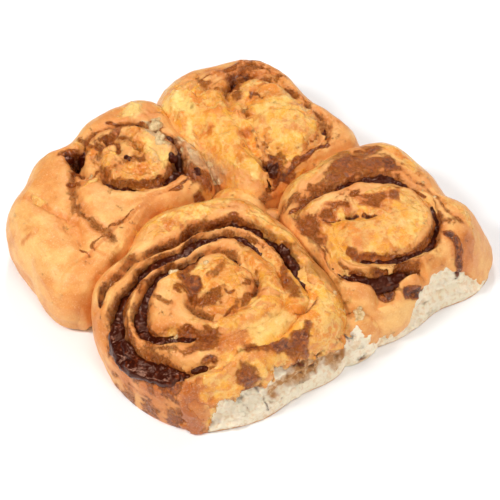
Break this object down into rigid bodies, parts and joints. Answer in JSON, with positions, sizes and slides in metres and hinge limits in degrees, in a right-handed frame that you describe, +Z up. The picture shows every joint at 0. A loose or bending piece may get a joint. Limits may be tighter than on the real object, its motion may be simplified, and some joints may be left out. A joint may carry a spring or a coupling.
{
  "type": "savoury pinwheel scroll",
  "caption": "Pull-apart block of rolled savoury scrolls baked side by side, with a dark filling wound through the dough, melted cheese over the top and a torn front edge.",
  "frame": {"origin": "middle of the footprint, on the tray face under the bread", "axes": "+Z up, +X along the torn front edge toward the right-hand scroll, +Y toward the back"},
  "size_m": [0.2206, 0.2078, 0.0464],
  "materials": {
    "bread": "baked crust, matt",
    "filling": "dark sticky paste",
    "cheese": "melted and toasted"
  },
  "bodies": {
    "root": {"bread": "bread", "filling_front": "filling", "filling_right": "filling", "filling_left": "filling", "filling_back": "filling", "cheese_front": "cheese", "cheese_right": "cheese", "cheese_middle": "cheese", "cheese_back": "cheese"}
  },
  "joints": []
}
